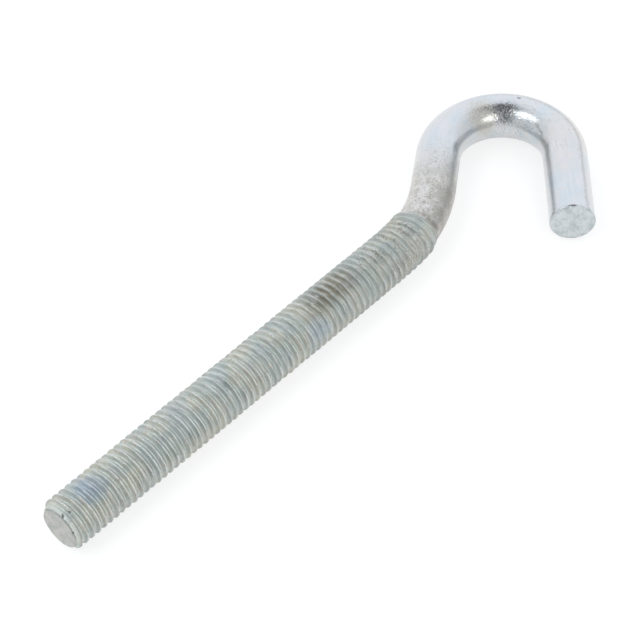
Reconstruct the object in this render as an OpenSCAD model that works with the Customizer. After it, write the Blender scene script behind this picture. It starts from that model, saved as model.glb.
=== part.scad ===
// Screw hook: one round steel rod, threaded at one end, set over to the side by a gentle
// neck bend and then bent back the other way into an open hook. All lengths in millimetres.
//
// The origin is on the axis of the thread, where the straight shank ends and the neck bend
// starts. +X runs out of the threaded tip, the hook lies towards -X, and +Z is square to the
// plane that the whole rod is bent in. The thread is drawn as rings, one to each turn.

/* [Thread] */
// Major diameter of the thread
thread_d = 12; // [11.6:0.1:14]
// Pitch of the thread, which is also how far it takes to run out
thread_pitch = 1.75; // [1:0.25:2]
// Depth of the thread as a share of its pitch
thread_depth_share = 0.6134; // [0.5:0.0001:0.7]
// Straight shank, from the face of the tip to the start of the neck bend
shank_l = 102.5; // [40:0.5:200]
// Turns of thread that carry on into the neck bend
bend_turns = 4; // [1:1:6]

/* [Tip] */
// Diameter of the flat face of the tip
tip_d = 9.8; // [6:0.1:11]
// Length of the lead-in cone at the tip
lead_in_l = 1.6; // [0.5:0.1:4]

/* [Rod] */
// Diameter of the plain rod, which the thread is rolled up from
rod_d = 10.5; // [8:0.1:10.8]
// Edge broken off round the cut end of the hook
end_edge = 0.4; // [0.1:0.1:1.5]

/* [Neck] */
// Radius of the neck bend, to the middle of the rod
neck_r = 37; // [30:0.5:60]
// Angle of the neck bend
neck_angle = 35.5; // [30:0.5:60]
// Straight piece between the two bends
neck_l = 11; // [1:0.5:40]

/* [Hook] */
// Inside diameter of the hook
hook_d = 19; // [10:0.5:60]
// Angle that the hook is bent through
hook_angle = 171.5; // [90:0.5:175]
// Straight end of the hook, from the bend to the cut face
end_l = 22; // [5:0.5:60]

/* [Hidden] */

ZINC = [0.80, 0.82, 0.86];
// A 60 degree thread, whose crests are left flat for an eighth of the pitch
FLANK_ANGLE = 30;
thread_depth = thread_depth_share * thread_pitch;
root_d = thread_d - 2 * thread_depth;
crest_w = thread_pitch / 8;
root_w = thread_pitch - crest_w - 2 * flank_w(thread_depth);
bend_thread_l = bend_turns * thread_pitch;
// A ring of thread stands on its core, with its foot set this far in under the root
bury = 0.2;
foot_w = crest_w / 2 + flank_w(thread_depth + bury);
// Its two flanks, as radius and length from the middle of the crest
RISING = [[root_d / 2 - bury, -foot_w], [thread_d / 2, -crest_w / 2]];
FALLING = [[thread_d / 2, crest_w / 2], [root_d / 2 - bury, foot_w]];
// The thread runs out to the plain rod over one pitch
run_out_l = thread_pitch;
// Radius of the hook, to the middle of the rod
hook_r = (hook_d + rod_d) / 2;
// How far a surface is carried on past the one that it cuts
lap = 0.5;
$fn = 96;

// Width along the rod that a flank of the thread takes up, over a given height
function flank_w(height) = height * tan(FLANK_ANGLE);

// Outline of one turn of the thread, from its crest to the next, as radius and length
function thread_turn(start) = [
    [thread_d / 2, start + crest_w / 2],
    [root_d / 2, start + (thread_pitch - root_w) / 2],
    [root_d / 2, start + (thread_pitch + root_w) / 2],
    [thread_d / 2, start + thread_pitch - crest_w / 2]
];

// Angle that a length along the neck bend takes up
function neck_turn(l) = l / neck_r * 180 / PI;

// Straight length of round rod along +X, with what follows at its far end
module straight(l, d) {
    rotate([0, 90, 0])
        cylinder(h = l, d = d);
    translate([l, 0, 0])
        children();
}

// Cone along +X
module cone(l, d_start, d_end) {
    rotate([0, 90, 0])
        cylinder(h = l, d1 = d_start, d2 = d_end);
}

// Part of a ring of round rod about Z, from the plane x = 0 on round to the left
module ring_sector(angle, r, d) {
    rotate([0, 0, 90])
        rotate_extrude(angle = angle)
            translate([r, 0])
                circle(d = d);
}

// Neck bend, as far as a given length along it: it leaves the origin along -X, turning left
module neck_bend(l, d) {
    translate([0, -neck_r, 0])
        ring_sector(neck_turn(l), neck_r, d);
}

// Places what stands on the neck bend a given length along it, with -X on along the rod
module along_neck_bend(l) {
    translate([0, -neck_r, 0])
        rotate([0, 0, neck_turn(l)])
            translate([0, neck_r, 0])
                children();
}

// Turned solid about +X, from its outline as radius and length
module turned(outline) {
    rotate([0, 90, 0])
        rotate_extrude()
            polygon(concat([[0, outline[0][1]]], outline, [[0, outline[len(outline) - 1][1]]]));
}

// Straight threaded shank, cut to length by the lead-in cone of its tip
module shank() {
    turns = ceil(shank_l / thread_pitch);
    widens = (thread_d - tip_d) / lead_in_l;
    intersection() {
        turned(concat(RISING, [for (i = [0 : turns - 1]) each thread_turn(i * thread_pitch)]));
        translate([-thread_d, 0, 0])
            cone(shank_l + thread_d, tip_d + widens * (shank_l + thread_d), tip_d);
    }
}

// One ring of thread in the neck bend, with its crest at the origin
module thread_ring() {
    turned(concat(RISING, FALLING));
}

// Last ring of thread, which comes down to the plain rod in a cone
module run_out() {
    slope = (thread_d - rod_d) / 2 / (run_out_l - crest_w / 2);
    turned(concat(
        [[rod_d / 2 - bury, -run_out_l - bury / slope], [thread_d / 2, -crest_w / 2]],
        FALLING
    ));
}

// The thread carries on into the neck bend, as rings on a core, and runs out into the rod
module bent_thread() {
    neck_bend(bend_thread_l + lap, root_d);
    for (turn = [1 : 1 : bend_turns - 1])
        along_neck_bend(turn * thread_pitch)
            thread_ring();
    along_neck_bend(bend_thread_l)
        run_out();
}

// Half of the hook bend, from its middle plane x = 0 to its end, with what follows there
module half_hook() {
    reach = hook_r + rod_d;
    intersection() {
        rotate([0, 0, -hook_angle / 2])
            ring_sector(180, hook_r, rod_d);
        translate([0, -reach, -reach])
            cube([reach, 2 * reach, 2 * reach]);
    }
    rotate([0, 0, -hook_angle / 2])
        translate([0, hook_r, 0])
            children();
}

// Straight end of the hook, cut off square and with its edge broken
module hook_end() {
    straight(end_l - end_edge, rod_d)
        cone(end_edge, rod_d, rod_d - 2 * end_edge);
}

// Plain rod from the hook back through the neck bend, ending inside the last of the thread
module neck() {
    straight(neck_l, rod_d)
        translate([0, neck_r, 0])
            rotate([0, 0, 180])
                ring_sector(neck_angle - neck_turn(bend_thread_l), neck_r, rod_d);
}

// The plain rod, drawn about the middle of its hook and set down at the end of the neck
module rod() {
    translate([0, -neck_r, 0])
        rotate([0, 0, neck_angle])
            translate([-neck_l, neck_r + hook_r, 0])
                rotate([0, 0, 180 - hook_angle / 2]) {
                    half_hook()
                        hook_end();
                    rotate([0, 180, 0])
                        half_hook()
                            neck();
                }
}

module screw_hook() {
    color(ZINC) {
        shank();
        bent_thread();
        rod();
    }
}

screw_hook();
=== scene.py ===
from math import cos, pi, radians, sin, tau

import bpy
import numpy as np
from mathutils import Matrix, Vector


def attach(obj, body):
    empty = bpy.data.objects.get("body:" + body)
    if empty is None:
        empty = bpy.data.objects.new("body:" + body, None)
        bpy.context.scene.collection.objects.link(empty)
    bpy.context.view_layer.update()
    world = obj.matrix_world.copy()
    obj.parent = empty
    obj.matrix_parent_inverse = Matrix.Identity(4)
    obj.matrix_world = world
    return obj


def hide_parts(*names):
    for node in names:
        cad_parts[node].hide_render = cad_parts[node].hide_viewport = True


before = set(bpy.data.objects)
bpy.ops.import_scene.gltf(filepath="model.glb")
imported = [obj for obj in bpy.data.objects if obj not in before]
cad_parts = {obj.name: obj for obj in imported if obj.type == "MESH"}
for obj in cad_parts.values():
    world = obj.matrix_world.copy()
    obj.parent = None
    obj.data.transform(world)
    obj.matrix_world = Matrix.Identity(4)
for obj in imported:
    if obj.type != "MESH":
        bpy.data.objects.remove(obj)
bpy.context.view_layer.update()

# Screw hook
# One length of round mild steel rod, sheared to length, with an M12 thread rolled on one end.
# The rod is then bent cold round two formers, into a gentle neck and an open hook, and the
# whole piece is tumbled and barrel plated with bright zinc. All sizes here are in millimetres.
MM = 0.001
ROD_R = 5.25
SHANK_L = 102.5
NECK_R = 37.0
NECK_TURN = radians(35.5)
NECK_L = 11.0
HOOK_INSIDE_R = 9.5
HOOK_R = HOOK_INSIDE_R + ROD_R
HOOK_TURN = radians(171.5)
HOOK_END_L = 22.0
# Each length of the rod from the tip on, with the curve it is bent to: left is positive
BENDS = [
    (SHANK_L, 0),
    (NECK_R * NECK_TURN, 1 / NECK_R),
    (NECK_L, 0),
    (HOOK_R * HOOK_TURN, -1 / HOOK_R),
    (HOOK_END_L, 0),
]
ROD_L = sum(length for length, curve in BENDS)

# The thread: how far a point is from the middle of the crest, and its radius there
PITCH = 1.75
FLANK_AT = [0, 0.11, 0.15, 0.40, 0.62, 0.74, 0.875]
FLANK_R = [6.0, 5.995, 5.94, 5.52, 5.19, 5.09, 5.05]
THREAD_R = FLANK_R[0]
# On the left of the rod, the first crest lies this share of the pitch past the face of the tip
THREAD_START = 0.07
# It runs out to the plain rod between these lengths from the tip
RUN_OUT_FROM = 110.5
RUN_OUT_TO = 111.8
# How far the crests are worn down on the whole, how much that varies, and the most there is
CREST_WORN = 0.04
CREST_WORN_VARIES = 0.06
CREST_WORN_MOST = 0.2
# How far the crests waver along the rod, and how deep the scraped ones are cut into
CREST_WAVERS = 0.02
SCRAPE_DEPTH = 0.10

# The lead-in cone of the tip leans, so that it is longer on one side
TIP_R = 4.9
LEAD_IN_L = 1.7
LEAD_IN_LEAN = 0.6
LEAN_TO = radians(85)
# The edge of its face is worn down on one side, and is dented here and there
TIP_WORN = 0.38
WORN_AT = radians(45)
TIP_DENTED = 0.08
# The edge broken off round the cut end of the hook
END_EDGE = 0.4

# Nicks that look black inside: length from the tip, degrees round the rod from its left side,
# width and depth, then the distance of the black spot from the middle of the rod, and its size
NICKS = [
    (0.6, 109, 0.55, 0.30, 5.0, 0.5),
    (2.1, 112, 0.55, 0.25, 5.4, 0.4),
    (0.2, 157, 0.60, 0.30, 5.0, 0.45),
    (47.0, 113, 0.60, 0.45, 5.8, 0.7),
    (76.5, 80, 0.70, 0.30, 5.8, 0.5),
    (102.8, 125, 1.30, 0.30, 5.8, 0.7),
    (162.2, 77, 0.70, 0.20, 5.2, 0.6),
    (202.4, 90, 0.60, 0.18, 5.0, 0.5),
]
# Knocks that kept their plating, in the same way: length, degrees, width and depth
KNOCKS = [
    (1.2, 60, 0.9, 0.15), (14.0, 205, 0.9, 0.2), (22.0, 178, 1.0, 0.2), (35.5, 92, 0.8, 0.25),
    (57.0, 139, 0.90, 0.30), (61.5, 205, 1.20, 0.25), (88.0, 150, 1.10, 0.25), (95.5, 118, 0.80, 0.30),
    (100.5, 196, 1.2, 0.25), (104.7, 187, 1.80, 0.35), (126.0, 60, 0.9, 0.12), (171.0, 140, 1.0, 0.06),
]

# How finely the mesh is divided: points round the rod, and rings along each stretch of it
AROUND = 96
FACE_RINGS = 9
EDGE_RINGS = 4
ROD_RINGS = 130
ROUND = np.arange(AROUND) * tau / AROUND


def smooth(x, low, high):
    """Eases from 0 at low to 1 at high."""
    t = np.clip((x - low) / (high - low), 0, 1)
    return t * t * (3 - 2 * t)


def uneven(points, grain, seed):
    """Smooth random swells through space, mostly from -1 to 1, each about one grain across."""
    count = 24
    draw = np.random.default_rng(seed)
    waves = draw.normal(size=(count, 3)) * pi / grain
    return np.sin(points @ waves.T + draw.uniform(0, tau, count)).sum(-1) / 5


def turned(s, angle):
    """Radius of the threaded blank, a length s from the tip and an angle round it."""
    s, angle = np.broadcast_arrays(s, angle)
    lag = (s / PITCH - angle / tau - THREAD_START) % 1
    rolled = np.interp(PITCH * np.minimum(lag, 1 - lag), FLANK_AT, FLANK_R)
    skin_at = np.stack([s, ROD_R * np.cos(angle), ROD_R * np.sin(angle)], -1)
    worn = CREST_WORN + CREST_WORN_VARIES * uneven(skin_at, grain=2.0, seed=1)
    rolled = np.minimum(rolled, THREAD_R - np.clip(worn, 0, CREST_WORN_MOST))
    rolled += (ROD_R - rolled) * smooth(s, RUN_OUT_FROM, RUN_OUT_TO)
    lead_in = LEAD_IN_L + LEAD_IN_LEAN * np.cos(angle - LEAN_TO)
    tip_r = TIP_R - TIP_WORN * np.clip(np.cos(angle - WORN_AT), 0, 1) ** 2
    tip_r -= TIP_DENTED * np.clip(uneven(skin_at, grain=3.0, seed=4), 0, 1)
    return np.minimum(rolled, tip_r + (THREAD_R - tip_r) * s / lead_in)


def worked(cut):
    """Points of the straight rod with its crests a little wavy and the knocks pressed in."""
    s, left, up = cut.T
    press = 0
    for at, degrees, width, depth, *_ in NICKS + KNOCKS:
        away = (np.arctan2(up, left) - radians(degrees) + pi) % tau - pi
        press = press + depth * np.exp(-((s - at) ** 2 + (ROD_R * away) ** 2) / width ** 2)
    # Crests that were scraped on a rough edge, near the end of the thread
    scraped = smooth(s, 97, 101) * (1 - smooth(s, 106, 109))
    scraped = scraped * smooth(-left, 4.6, 5.7) * smooth(up, -3.5, -1)
    press = press + SCRAPE_DEPTH * scraped * np.clip(uneven(cut, grain=0.7, seed=3) + 0.2, 0, 1)
    share = 1 - press / ROD_R
    on_thread = smooth(s, 0, 3) * (1 - smooth(s, RUN_OUT_FROM - 4, RUN_OUT_TO))
    wavers = CREST_WAVERS * on_thread * uneven(cut, grain=1.8, seed=2)
    return np.stack([s + wavers, left * share, up * share], 1)


def bent(cut):
    """Where points of the straight rod go when it is bent."""
    s, left, up = cut.T
    place = np.zeros_like(cut)
    start = 0
    corner = np.array([SHANK_L, 0.0])
    heading = pi
    for length, curve in BENDS:
        here = s >= start
        turn = heading + curve * (s[here] - start)
        next_heading = heading + curve * length
        if curve:
            middle = corner + np.array([-sin(heading), cos(heading)]) / curve
            axis = middle + np.stack([np.sin(turn), -np.cos(turn)], 1) / curve
            corner = middle + np.array([sin(next_heading), -cos(next_heading)]) / curve
        else:
            way = np.array([cos(heading), sin(heading)])
            axis = corner + np.outer(s[here] - start, way)
            corner = corner + length * way
        side = np.stack([-np.sin(turn), np.cos(turn)], 1)
        place[here, :2] = axis + left[here, None] * side
        start = start + length
        heading = next_heading
    place[:, 2] = up
    return place


def ring_rows(s, r):
    """Points of the straight rod on rings round it, with a column of lengths s and radii r."""
    s, r, angle = np.broadcast_arrays(s, r, ROUND)
    return np.stack([s, r * np.cos(angle), r * np.sin(angle)], 2)


def thread_rows():
    """Rows of points that follow the thread as it winds, cut off at both ends of it."""
    spare = 2
    across = FLANK_AT + [PITCH - x for x in FLANK_AT[-2:0:-1]]
    turns = range(-spare, int(RUN_OUT_TO / PITCH) + 1 + spare)
    row = np.array([PITCH * (THREAD_START + turn) + x for turn in turns for x in across])
    share = np.arange(AROUND) / AROUND
    s = np.clip(row[:, None] + PITCH * share, 0, RUN_OUT_TO)
    r = turned(s, tau * share)
    return np.stack([s, r * np.cos(tau * share), r * np.sin(tau * share)], 2), len(across)


def skin(rows, first, lead):
    """Faces between rows of points. A row ends on the start of the row that is lead rows on."""
    count = len(rows) - lead
    at = first + np.arange(len(rows) * AROUND).reshape(-1, AROUND)
    wrapped = np.concatenate([at[:count], at[lead:lead + count, :1]], 1)
    a, b = wrapped[:-1], wrapped[1:]
    return np.stack([a[:, :-1], a[:, 1:], b[:, 1:], b[:, :-1]], 2).reshape(-1, 4)


# The skin of the straight rod, from the middle of the tip's face to the middle of the cut end
tip_face = ring_rows(0, np.linspace(0, 1, FACE_RINGS)[:, None] * turned(0, ROUND))
thread, thread_lead = thread_rows()
plain_rod = ring_rows(np.linspace(RUN_OUT_TO, ROD_L - END_EDGE, ROD_RINGS)[:, None], ROD_R)
broken = np.linspace(0, END_EDGE, EDGE_RINGS)[:, None]
cut_edge = ring_rows(ROD_L - END_EDGE + broken, ROD_R - broken)
cut_face = ring_rows(ROD_L, np.linspace(ROD_R - END_EDGE, 0, FACE_RINGS)[:, None])

points, faces = [], []
for rows, lead in [(tip_face, 0), (thread, thread_lead), (plain_rod, 0), (cut_edge, 0), (cut_face, 0)]:
    faces.append(skin(rows, sum(len(p) for p in points), lead))
    points.append(rows.reshape(-1, 3))
points, faces = np.concatenate(points), np.concatenate(faces)

# Points that fall together, as where a winding row is cut off, become one
_, first_at, becomes = np.unique(
    np.round(points, 5), axis=0, return_index=True, return_inverse=True
)
cut = worked(points[first_at])
faces = [list(dict.fromkeys(face)) for face in becomes.reshape(-1)[faces].tolist()]
faces = [face for face in faces if len(face) > 2]

# The bent rod, whose points keep their place on the straight rod for the material to read
mesh = bpy.data.meshes.new("screw_hook_plated")
mesh.from_pydata((bent(cut) * MM).tolist(), [], faces)
as_cut = mesh.attributes.new("as_cut", "FLOAT_VECTOR", "POINT")
as_cut.data.foreach_set("vector", cut.astype(np.float32).ravel())
mesh.shade_smooth()
hook = bpy.data.objects.new("screw_hook_plated", mesh)
bpy.context.scene.collection.objects.link(hook)


class Wire:
    """One socket of a shader. Sums written with wires add the nodes that work them out.

    A wire with no socket only adds nodes that start from nothing.
    """

    def __init__(self, tree, socket):
        self.tree = tree
        self.socket = socket

    def node(self, kind, settings, inputs, out=0):
        """Adds a node: first its settings, then the values or wires of its sockets."""
        made = self.tree.nodes.new(kind)
        for name, value in settings.items():
            setattr(made, name, value)
        for name, value in inputs.items():
            if isinstance(value, Wire):
                self.tree.links.new(value.socket, made.inputs[name])
            else:
                made.inputs[name].default_value = value
        return Wire(self.tree, made.outputs[out])

    def maths(self, operation, *terms):
        """A Math node on these numbers or wires."""
        return self.node("ShaderNodeMath", {"operation": operation}, dict(enumerate(terms)))

    def __add__(self, other):
        return self.maths("ADD", self, other)

    def __sub__(self, other):
        return self.maths("SUBTRACT", self, other)

    def __rsub__(self, other):
        return self.maths("SUBTRACT", other, self)

    def __mul__(self, other):
        return self.maths("MULTIPLY", self, other)

    def __abs__(self):
        return self.maths("ABSOLUTE", self)

    __radd__ = __add__
    __rmul__ = __mul__

    def eased(self, low, high):
        """Eases from 0 at low to 1 at high."""
        return self.node(
            "ShaderNodeMapRange",
            {"interpolation_type": "SMOOTHSTEP"},
            {"Value": self, "From Min": low, "From Max": high},
        )

    def between(self, start, end, fade):
        """1 from start to end and 0 outside, with soft edges."""
        return self.eased(start - fade, start + fade) * (1 - self.eased(end - fade, end + fade))

    def vector(self, operation, other=(0, 0, 0), out=0):
        """A Vector Math node on this vector and another."""
        return self.node("ShaderNodeVectorMath", {"operation": operation}, {0: self, 1: other}, out)

    def times(self, factors):
        """This vector or colour, each part times its own factor."""
        return self.vector("MULTIPLY", factors)

    def part(self, number):
        """One part of this vector."""
        return self.node("ShaderNodeSeparateXYZ", {}, {0: self}, number)

    def noise(self, scale, detail=3, roughness=0.5):
        """Noise read at this vector, with so many grains to the unit."""
        return self.node(
            "ShaderNodeTexNoise",
            {},
            {"Vector": self, "Scale": scale, "Detail": detail, "Roughness": roughness},
        )

    def blend(self, low, high):
        """The colour low where this is 0 and high where it is 1."""
        return self.node(
            "ShaderNodeMix", {"data_type": "RGBA"}, {0: self, 6: low, 7: high}, 2
        )


def rgb(red, green, blue):
    """A colour that nothing shows through."""
    return (red, green, blue, 1)


zinc = bpy.data.materials.new("zinc_plated_steel")
zinc.use_nodes = True
plating = zinc.node_tree.nodes["Principled BSDF"]
zinc_nodes = Wire(zinc.node_tree, None)

# The place on the straight rod: length from the tip, towards the inside of the hook, and up
rod = zinc_nodes.node("ShaderNodeAttribute", {"attribute_name": "as_cut"}, {}, 1)
length = rod.part(0)
inward = 0 - rod.part(1)
up = rod.part(2)
radius = rod.times((0, 1, 1)).vector("LENGTH", out=1)

# Patterns from broad to fine, then one drawn out along the rod and one rolled out round it
cloud = rod.noise(0.16, detail=4)
blotch = rod.noise(0.5, detail=4, roughness=0.6)
grain = rod.noise(2.0, roughness=0.6)
fine = rod.noise(6.0, detail=2)
drawn = rod.times((0.12, 1.6, 1.6)).noise(1.0)
rolled_in = rod.times((3.0, 0.22, 0.22)).noise(1.0, detail=4, roughness=0.65)


def spot(at, degrees, from_middle, size):
    """1 in a spot on the rod and 0 outside, with a ragged edge."""
    middle = (at, from_middle * cos(radians(degrees)), from_middle * sin(radians(degrees)))
    away = rod.vector("DISTANCE", middle, 1) + (grain - 0.5) * (0.6 + size)
    return 1 - away.eased(size * 0.4, size)


# Where each finish lies: the thread, the dull neck with its ragged end, and the two cut faces
DULLED_FROM = (100, 107)
DULLED_TO = (122, 139)
threaded = 1 - length.eased(RUN_OUT_TO - 0.7, RUN_OUT_TO + 0.1)
ragged = length + (blotch - 0.5) * 14 + (cloud - 0.5) * 10
on_neck = (1 - threaded * 0.85) * (1 - ragged.eased(*DULLED_TO)) * length.eased(*DULLED_FROM)
on_cut_end = length.eased(ROD_L - END_EDGE - 0.04, ROD_L - END_EDGE + 0.1)
cut_off = 1 - length.eased(0.01, 0.06) + on_cut_end

# Bright zinc: bluish and clouded, with painted shade that darkens it underneath, and a warm flush on the
# hook
BLUE_ZINC = rgb(0.59, 0.645, 0.68)
PALE_ZINC = rgb(0.645, 0.66, 0.685)
WARM_ZINC = rgb(0.69, 0.67, 0.64)
FLUSHED_ZINC = rgb(0.70, 0.65, 0.61)
bright = cloud.eased(0.38, 0.62).blend(BLUE_ZINC, PALE_ZINC)
bright = (blotch.eased(0.35, 0.75) * 0.5).blend(bright, WARM_ZINC)
# Streaked along the rod, and darkened underneath as painted shade
bright = bright.times((0.94 + drawn * 0.12) * (0.78 + up.eased(-4.5, -0.5) * 0.22))
flush = spot(177, 78, 5.2, 8) * 0.4 + spot(187, 100, 5.2, 6) * 0.3
bright = flush.blend(bright, FLUSHED_ZINC)

# Dull zinc on the thread: mottled in four tints, lighter towards the top as painted light, and streaked
# along its ridges
GREEN_DULL = rgb(0.42, 0.465, 0.445)
YELLOW_DULL = rgb(0.52, 0.515, 0.43)
BLUE_DULL = rgb(0.42, 0.475, 0.495)
VIOLET_DULL = rgb(0.49, 0.455, 0.495)
dull = cloud.eased(0.38, 0.62).blend(GREEN_DULL, YELLOW_DULL)
dull = (blotch.eased(0.45, 0.62) * 0.5).blend(dull, BLUE_DULL)
dull = ((1 - blotch.eased(0.36, 0.50)) * 0.5).blend(dull, VIOLET_DULL)
# Painted light: the thread is lighter towards the top
dull = dull.times(0.90 + up.eased(1.5, 5.5) * 0.20)
dull = dull.times((0.52 + rolled_in) * (0.58 + grain * 0.88))

# The neck: a chalky beige, darker where it is worn and on its inner side
NECK_CHALKY = rgb(0.68, 0.66, 0.635)
NECK_WORN = rgb(0.47, 0.45, 0.40)
worn = (grain * 0.25 + blotch * 0.75 + inward * 0.012).eased(0.34, 0.64)
beige = worn.blend(NECK_CHALKY, NECK_WORN)
beige = beige.times(1 - inward.eased(0.5, 4.5) * 0.15)

# Cut faces: rough from the shears, so that the plating on them is grey with a chalky bloom
TIP_GREY = rgb(0.50, 0.515, 0.50)
TIP_CHALKY = rgb(0.645, 0.635, 0.615)
END_GREY = rgb(0.46, 0.51, 0.53)
END_CHALKY = rgb(0.63, 0.67, 0.685)
chalky = (blotch * 0.75 + grain * 0.25).eased(0.36, 0.60)
cut_grey = length.eased(1, 2).blend(chalky.blend(TIP_GREY, TIP_CHALKY), chalky.blend(END_GREY, END_CHALKY))

# Stretches of the rod, each by where it starts and ends and how softly
BROWN = (75, 88, 4)
SMEARED = (88, 109, 3)
SCRAPED = (97, 108, 2)
WRINKLED = (151, 168, 5)
SCUFFED = (163, 186, 4)
SCRATCHED = (170, 175, 0.6)

# The thread: rubbed crests with a painted highlight, roots painted light against their shade, a scraped
# stretch and chipped crests
scraped = length.between(*SCRAPED) * inward.eased(3.2, 5.4) * up.eased(-3.5, -1)
# Crests: partly rubbed plating, partly a painted highlight
crest = radius.eased(5.80, 5.94) * threaded * (0.2 + rolled_in.eased(0.42, 0.60) * 0.5 + scraped * 0.4)
# Roots: painted lighter to lift the shade between the crests
root = (1 - radius.eased(5.1, 5.7)) * threaded
bared = scraped * rolled_in.eased(0.42, 0.56)
specks = scraped * (fine * 0.6 + rolled_in * 0.4).eased(0.50, 0.56)
chipped = radius.eased(5.5, 5.85) * threaded * grain.eased(0.58, 0.64)

# On the thread: two blue stains, a brown patch low between the crests, and a smear after it
blue_stain = spot(9, 98, 5.6, 5)
pale_stain = spot(73.6, 154, 5.6, 4)
dirt = length.between(*BROWN) * up.eased(3.2, 5.4) * (blotch * 0.5 + rolled_in * 0.5).eased(0.36, 0.54)
dirt = dirt * (1 - radius.eased(5.45, 5.85) * 0.6)
smear = length.between(*SMEARED) * (rolled_in * 0.6 + grain * 0.4).eased(0.52, 0.57)
smear = smear * (up.eased(3.5, 5.5) * 0.7 + 0.3)

# Inside the hook: fine wrinkles of bending, a dull patch, a speckled painted dark reflection, and scuffs
# past them
wrinkled = length.between(*WRINKLED) * inward.eased(0.5, 3.5)
dull_patch = spot(152.5, 136, 5.2, 6)
# A painted reflection of the dark side of the room where the camera stands, speckled by the grain
painted_dark_reflection = spot(159.4, 127, 5.2, 4.6) * inward.eased(-0.5, 1.8) * rod.noise(3.2, detail=1).eased(0.40, 0.54)
scuffed = rod.times((0.6, 3.0, 3.0)).noise(1.0, detail=2).eased(0.58, 0.66) * length.between(*SCUFFED)

# Dark lines where the thread ends and round the face of the tip, and pits all over
seam = length.between(RUN_OUT_TO, RUN_OUT_TO + 1.1, 0.4) * blotch.eased(0.34, 0.54) * inward.eased(-1, 2.5)
rim = length.between(0.05, 0.35, 0.05) * blotch.eased(0.34, 0.52)
pits = (grain * 0.5 + fine * 0.5).eased(0.56, 0.64) * (0.10 + on_neck * 0.6 + scraped + wrinkled * 0.6)

# The black insides of the nicks, and a ragged scratch that runs slantwise inside the hook
marks = sum(spot(at, degrees, mark_at, mark_size) for at, degrees, _, _, mark_at, mark_size in NICKS)
SCRATCH_AT = 170.8
SCRATCH_UP = 3.6
SCRATCH_SLANT = 0.12
off_line = up - SCRATCH_UP + (length - SCRATCH_AT) * SCRATCH_SLANT + (grain - 0.5) * 1.6
scratch = 1 - abs(off_line).eased(0.08, 0.34)
scratch = scratch * length.between(*SCRATCHED) * inward.eased(1, 2) * fine.eased(0.40, 0.58)

# What lies on the plating, and the painted light and shade, from the bottom up: where it shows, how
# strongly, and its colour
layers = [
    (on_neck, 0.9, beige),
    (crest, 1, rgb(0.74, 0.77, 0.75)),
    (root, 0.5, rgb(0.70, 0.745, 0.715)),
    (bared, 0.5, rgb(0.70, 0.67, 0.63)),
    (specks, 0.6, rgb(0.25, 0.23, 0.21)),
    (chipped, 0.6, rgb(0.27, 0.27, 0.26)),
    (dirt, 0.9, rgb(0.25, 0.23, 0.18)),
    (smear, 0.65, rgb(0.20, 0.19, 0.17)),
    (blue_stain, 0.4, rgb(0.38, 0.48, 0.61)),
    (pale_stain, 0.3, rgb(0.46, 0.54, 0.64)),
    (dull_patch, 0.75, rgb(0.54, 0.52, 0.46)),
    (painted_dark_reflection, 0.85, rgb(0.19, 0.19, 0.19)),
    (scuffed, 0.3, rgb(0.40, 0.41, 0.42)),
    (seam, 0.6, rgb(0.27, 0.25, 0.22)),
    (rim, 0.6, rgb(0.16, 0.16, 0.15)),
    (pits, 1, rgb(0.20, 0.18, 0.16)),
    (marks * 0.8 + scratch * 0.7, 1, rgb(0.06, 0.06, 0.06)),
    (cut_off, 0.9, cut_grey),
]
shade = threaded.blend(bright, dull)
for where, strength, colour in layers:
    shade = (where * strength).blend(shade, colour)
zinc.node_tree.links.new(shade.socket, plating.inputs["Base Color"])

rough = 0.12 + threaded * 0.36 + on_neck * 0.24 + cut_off * 0.33 + (blotch - 0.5) * 0.12
zinc.node_tree.links.new(rough.socket, plating.inputs["Roughness"])
plating.inputs["Metallic"].default_value = 1.0

# The fine relief of the surface: grain, the streaks of the rolling, and the pits
RELIEF_DEPTH = 0.1
coarse = 1 + on_neck * 0.6 + threaded * 0.9 + cut_off * 0.5 + wrinkled * 0.5
relief = (grain * 0.5 + fine * 0.06) * coarse + rolled_in * threaded * 1.3 - pits * 0.8
bump = relief.node(
    "ShaderNodeBump", {}, {"Strength": 1.0, "Distance": RELIEF_DEPTH * MM, "Height": relief}
)
zinc.node_tree.links.new(bump.socket, plating.inputs["Normal"])
mesh.materials.append(zinc)

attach(hook, "root")
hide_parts("screw_hook")

# Floor
# A plain sheet of white paper that the hook lies on, wide enough to fill the picture, and lit
# from below. It isn't part of the object. From here on, sizes are in metres.
FLOOR_Z = -THREAD_R * MM
FLOOR_HALF = 3.0
CORNERS = [(-1, -1), (1, -1), (1, 1), (-1, 1)]
floor_mesh = bpy.data.meshes.new("floor")
floor_mesh.from_pydata(
    [(x * FLOOR_HALF, y * FLOOR_HALF, FLOOR_Z) for x, y in CORNERS], [], [(0, 1, 2, 3)]
)
floor = bpy.data.objects.new("floor", floor_mesh)
bpy.context.scene.collection.objects.link(floor)
paper = bpy.data.materials.new("white_paper")
paper.use_nodes = True
sheet = paper.node_tree.nodes["Principled BSDF"]
sheet.inputs["Base Color"].default_value = rgb(0.37, 0.37, 0.37)
sheet.inputs["Roughness"].default_value = 0.9
sheet.inputs["Emission Color"].default_value = rgb(1, 1, 1)
sheet.inputs["Emission Strength"].default_value = 0.70
floor_mesh.materials.append(paper)

# Light
# A tent of white cloth stands all round the hook, brightest behind it. A slit towards the camera
# and a hole overhead show the dim room, and two soft boxes add the highlights. Like the floor,
# none of this is part of the object.
CAMERA_AZIMUTH = 136.805
CAMERA_ELEVATION = 47.518


def towards(azimuth, elevation):
    """The direction from the object, with the azimuth counted from the camera's side."""
    a, e = radians(CAMERA_AZIMUTH + azimuth), radians(elevation)
    return Vector((sin(a) * cos(e), -cos(a) * cos(e), sin(e)))


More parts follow.
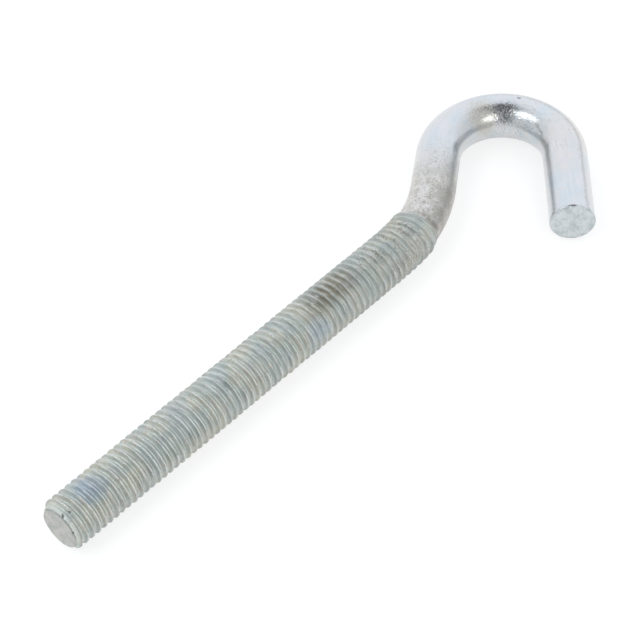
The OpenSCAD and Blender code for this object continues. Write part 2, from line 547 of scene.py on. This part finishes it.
def soft_box(name, azimuth, elevation, width, height, radiance):
    """A lamp behind a rectangle of cloth, one metre from the hook and turned to face it."""
    light = bpy.data.lights.new(name, "AREA")
    light.shape = "RECTANGLE"
    light.size = width
    light.size_y = height
    light.energy = radiance * pi * width * height
    box = bpy.data.objects.new(name, light)
    out = towards(azimuth, elevation)
    box.location = out
    box.rotation_mode = "QUATERNION"
    box.rotation_quaternion = out.to_track_quat("Z", "Y")
    bpy.context.scene.collection.objects.link(box)


soft_box("left_soft_box", azimuth=-67, elevation=56, width=0.60, height=0.35, radiance=2.1)
soft_box("right_soft_box", azimuth=19, elevation=34, width=0.42, height=0.42, radiance=2.2)

world = bpy.data.worlds.new("light_tent")
bpy.context.scene.world = world
world.use_nodes = True
way = Wire(world.node_tree, None).node("ShaderNodeTexCoord", {}, {})


def along(direction):
    """How nearly the way looked is along a direction: 1 along it and -1 against it."""
    return way.vector("DOT_PRODUCT", tuple(direction), 1)


# The cloth, what shows through its slit and overhead, and the dark hem at its foot on one side
SLIT_AT = -15
SHADED_CLOTH = rgb(0.80, 0.82, 0.84)
BRIGHT_CLOTH = rgb(1.10, 1.13, 1.19)
ROOM_IN_SLIT = rgb(0.20, 0.20, 0.21)
ROOM_OVERHEAD = rgb(0.22, 0.22, 0.23)
DARK_HEM = rgb(0.30, 0.31, 0.32)
rise = along((0, 0, 1))
behind = along(towards(170, 20)).eased(0.0, 0.9)
slit = 1 - abs(along(towards(SLIT_AT + 90, 0))).eased(0.12, 0.26)
slit = slit * along(towards(SLIT_AT, 0)).eased(-0.25, 0.1) * rise.eased(0.2, 0.35)
overhead = rise.eased(0.95, 0.985)
hem = (1 - abs(rise).eased(0.03, 0.10)) * along(towards(90, 0)).eased(-0.3, 0.3)
cloth = behind.blend(SHADED_CLOTH, BRIGHT_CLOTH)
cloth = slit.blend(cloth, ROOM_IN_SLIT)
cloth = overhead.blend(cloth, ROOM_OVERHEAD)
cloth = hem.blend(cloth, DARK_HEM)
world.node_tree.links.new(cloth.socket, world.node_tree.nodes["Background"].inputs["Color"])

# Camera
# A long lens on a still camera, which stands over the threaded end and looks down at the hook.
# Its aim, its distance and its small roll are those at which the outline meets the photo's.
CAMERA_ROLL = -4.767
CAMERA_DISTANCE = 0.54368
AIM = Vector((0.02533, 0.00129, 0))
camera_data = bpy.data.cameras.new("camera")
camera_data.lens = 139.008
camera_data.sensor_width = 36.0
camera = bpy.data.objects.new("camera", camera_data)
back_way = towards(0, CAMERA_ELEVATION)
level = Vector((0, 0, 1)).cross(back_way).normalized()
right_way = Matrix.Rotation(radians(CAMERA_ROLL), 3, back_way) @ level
up_way = back_way.cross(right_way)
turned_to = Matrix((right_way, up_way, back_way)).transposed().to_4x4()
camera.matrix_world = Matrix.Translation(AIM + back_way * CAMERA_DISTANCE) @ turned_to
bpy.context.scene.collection.objects.link(camera)
bpy.context.scene.camera = camera
bpy.context.scene.view_settings.view_transform = "Standard"
